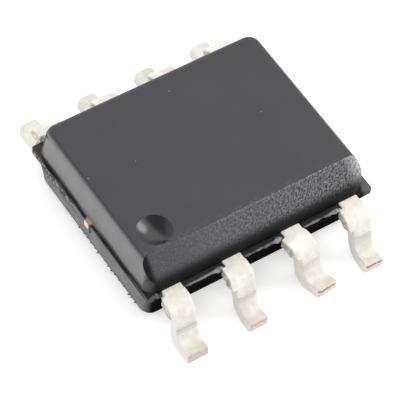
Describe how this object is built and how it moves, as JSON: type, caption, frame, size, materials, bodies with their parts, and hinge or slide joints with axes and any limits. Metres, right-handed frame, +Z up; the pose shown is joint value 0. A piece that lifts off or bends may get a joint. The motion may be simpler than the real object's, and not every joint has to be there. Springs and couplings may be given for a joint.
{
  "type": "small-outline integrated circuit",
  "caption": "Moulded small-outline chip with gull-wing leads along both sides, a chamfer and a dimple that mark pin 1, and a lead knocked sideways.",
  "frame": {"origin": "centre of the seating plane, under the middle of the body, on the board that the leads stand on", "axes": "+X along the lead rows from pin 1 to pin 4, +Y from the pin 1 row to the opposite row, +Z up out of the board"},
  "size_m": [0.005, 0.006, 0.0016],
  "materials": {
    "moulding": "smooth ground top, finely grained chamfer and sides",
    "tinned_lead": "matte tin over copper",
    "lead_frame_copper": "bare sheared copper",
    "die_adhesive": "cured silver-filled epoxy",
    "silicon": "polished",
    "gold_wire": "bright"
  },
  "bodies": {
    "root": {"body": "moulding", "lead_1": "tinned_lead", "lead_2": "tinned_lead", "lead_3": "tinned_lead", "lead_4": "tinned_lead", "lead_5": "tinned_lead", "lead_6": "tinned_lead", "lead_7": "tinned_lead", "lead_8": "tinned_lead", "die_paddle": "lead_frame_copper", "die_attach": "die_adhesive", "die": "silicon", "wire_1": "gold_wire", "wire_2": "gold_wire", "wire_3": "gold_wire", "wire_4": "gold_wire", "wire_5": "gold_wire", "wire_6": "gold_wire", "wire_7": "gold_wire", "wire_8": "gold_wire"}
  },
  "joints": []
}
